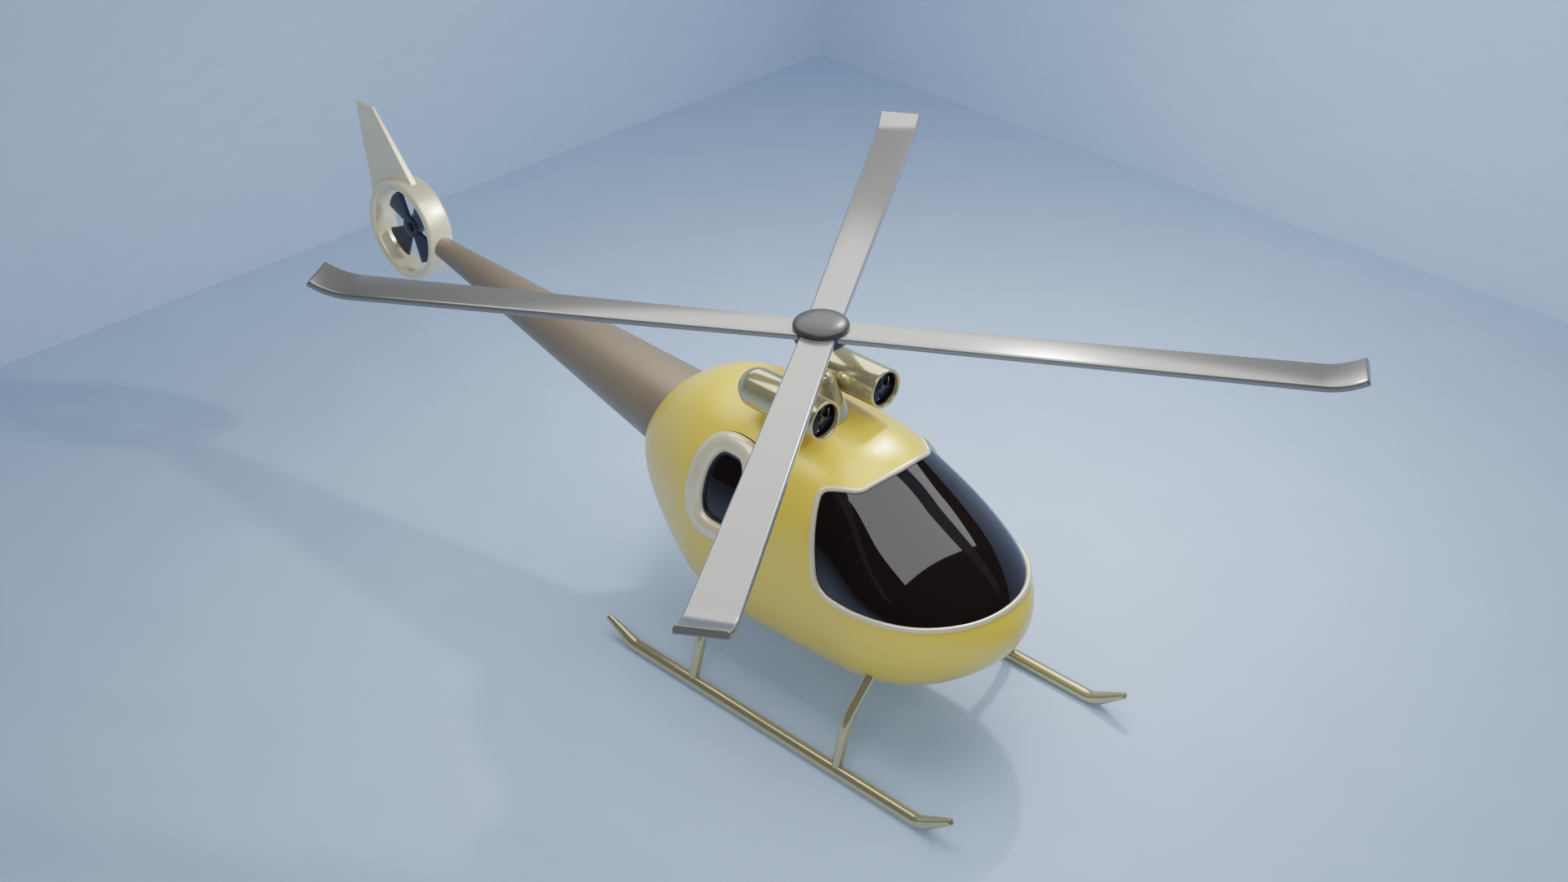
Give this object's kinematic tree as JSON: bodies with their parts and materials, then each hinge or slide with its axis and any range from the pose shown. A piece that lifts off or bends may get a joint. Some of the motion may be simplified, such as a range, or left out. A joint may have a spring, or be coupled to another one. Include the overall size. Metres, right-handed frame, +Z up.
{
  "type": "toy helicopter",
  "caption": "Toy helicopter with a rounded clamshell body, dark windshield, spinning main rotor with upturned tips, ducted tail fan, twin intake fans and bent-tube skids.",
  "frame": {"origin": "on the floor plane, under the middle of the whole toy's bounding box", "axes": "+X towards the nose, +Y to the left side, +Z up along the rotor mast"},
  "size_m": [0.3718, 0.2748, 0.1264],
  "materials": {
    "body_yellow": "satin",
    "dark_glaze": "polished",
    "ivory_trim": "satin",
    "boom_taupe": "satin",
    "pale_brass": "polished",
    "blade_grey": "satin",
    "hub_black": "satin",
    "cap_grey": "glossy",
    "bush_brass": "turned",
    "pin_steel": "brushed"
  },
  "bodies": {
    "airframe": {"body_shell_right": "body_yellow", "body_shell_left": "body_yellow", "windshield": "dark_glaze", "window_pane_right": "dark_glaze", "window_pane_left": "dark_glaze", "windshield_bead": "ivory_trim", "window_frame_right": "ivory_trim", "window_frame_left": "ivory_trim", "tail_ring": "ivory_trim", "tail_fin": "ivory_trim", "tail_boom": "boom_taupe", "engine_pylon": "pale_brass", "nacelle_right": "pale_brass", "nacelle_left": "pale_brass", "skid_right": "pale_brass", "skid_left": "pale_brass", "strut_front_right": "pale_brass", "strut_front_left": "pale_brass", "strut_rear_right": "pale_brass", "strut_rear_left": "pale_brass", "tail_fan_bridge": "hub_black", "body_screws": "pin_steel", "nacelle_cross_pin": "pin_steel", "intake_axle_right": "pin_steel", "intake_axle_left": "pin_steel", "rotor_mast": "pin_steel", "mast_ring": "pin_steel", "tail_screws": "pin_steel", "tail_fan_axle": "pin_steel"},
    "main_rotor": {"rotor_bush": "bush_brass", "rotor_hub": "hub_black", "rotor_cap": "cap_grey", "rotor_blade_1": "blade_grey", "rotor_blade_2": "blade_grey", "rotor_blade_3": "blade_grey", "rotor_blade_4": "blade_grey", "blade_screws": "pin_steel"},
    "tail_fan_body": {"tail_fan": "hub_black"},
    "intake_fan_body_right": {"intake_fan_right": "hub_black"},
    "intake_fan_body_left": {"intake_fan_left": "hub_black"}
  },
  "joints": [
    {"name": "rotor_spin", "type": "hinge", "parent": "airframe", "child": "main_rotor", "pos_m": [0.04852, 0, 0.12], "axis": [0, 0, 1], "continuous": true},
    {"name": "tail_fan_spin", "type": "hinge", "parent": "airframe", "child": "tail_fan_body", "pos_m": [-0.15948, 0, 0.084], "axis": [0, 1, 0], "continuous": true},
    {"name": "intake_spin_right", "type": "hinge", "parent": "airframe", "child": "intake_fan_body_right", "pos_m": [0.06052, -0.0134, 0.1003], "axis": [1, 0, 0], "continuous": true},
    {"name": "intake_spin_left", "type": "hinge", "parent": "airframe", "child": "intake_fan_body_left", "pos_m": [0.06052, 0.0134, 0.1003], "axis": [1, 0, 0], "continuous": true}
  ]
}
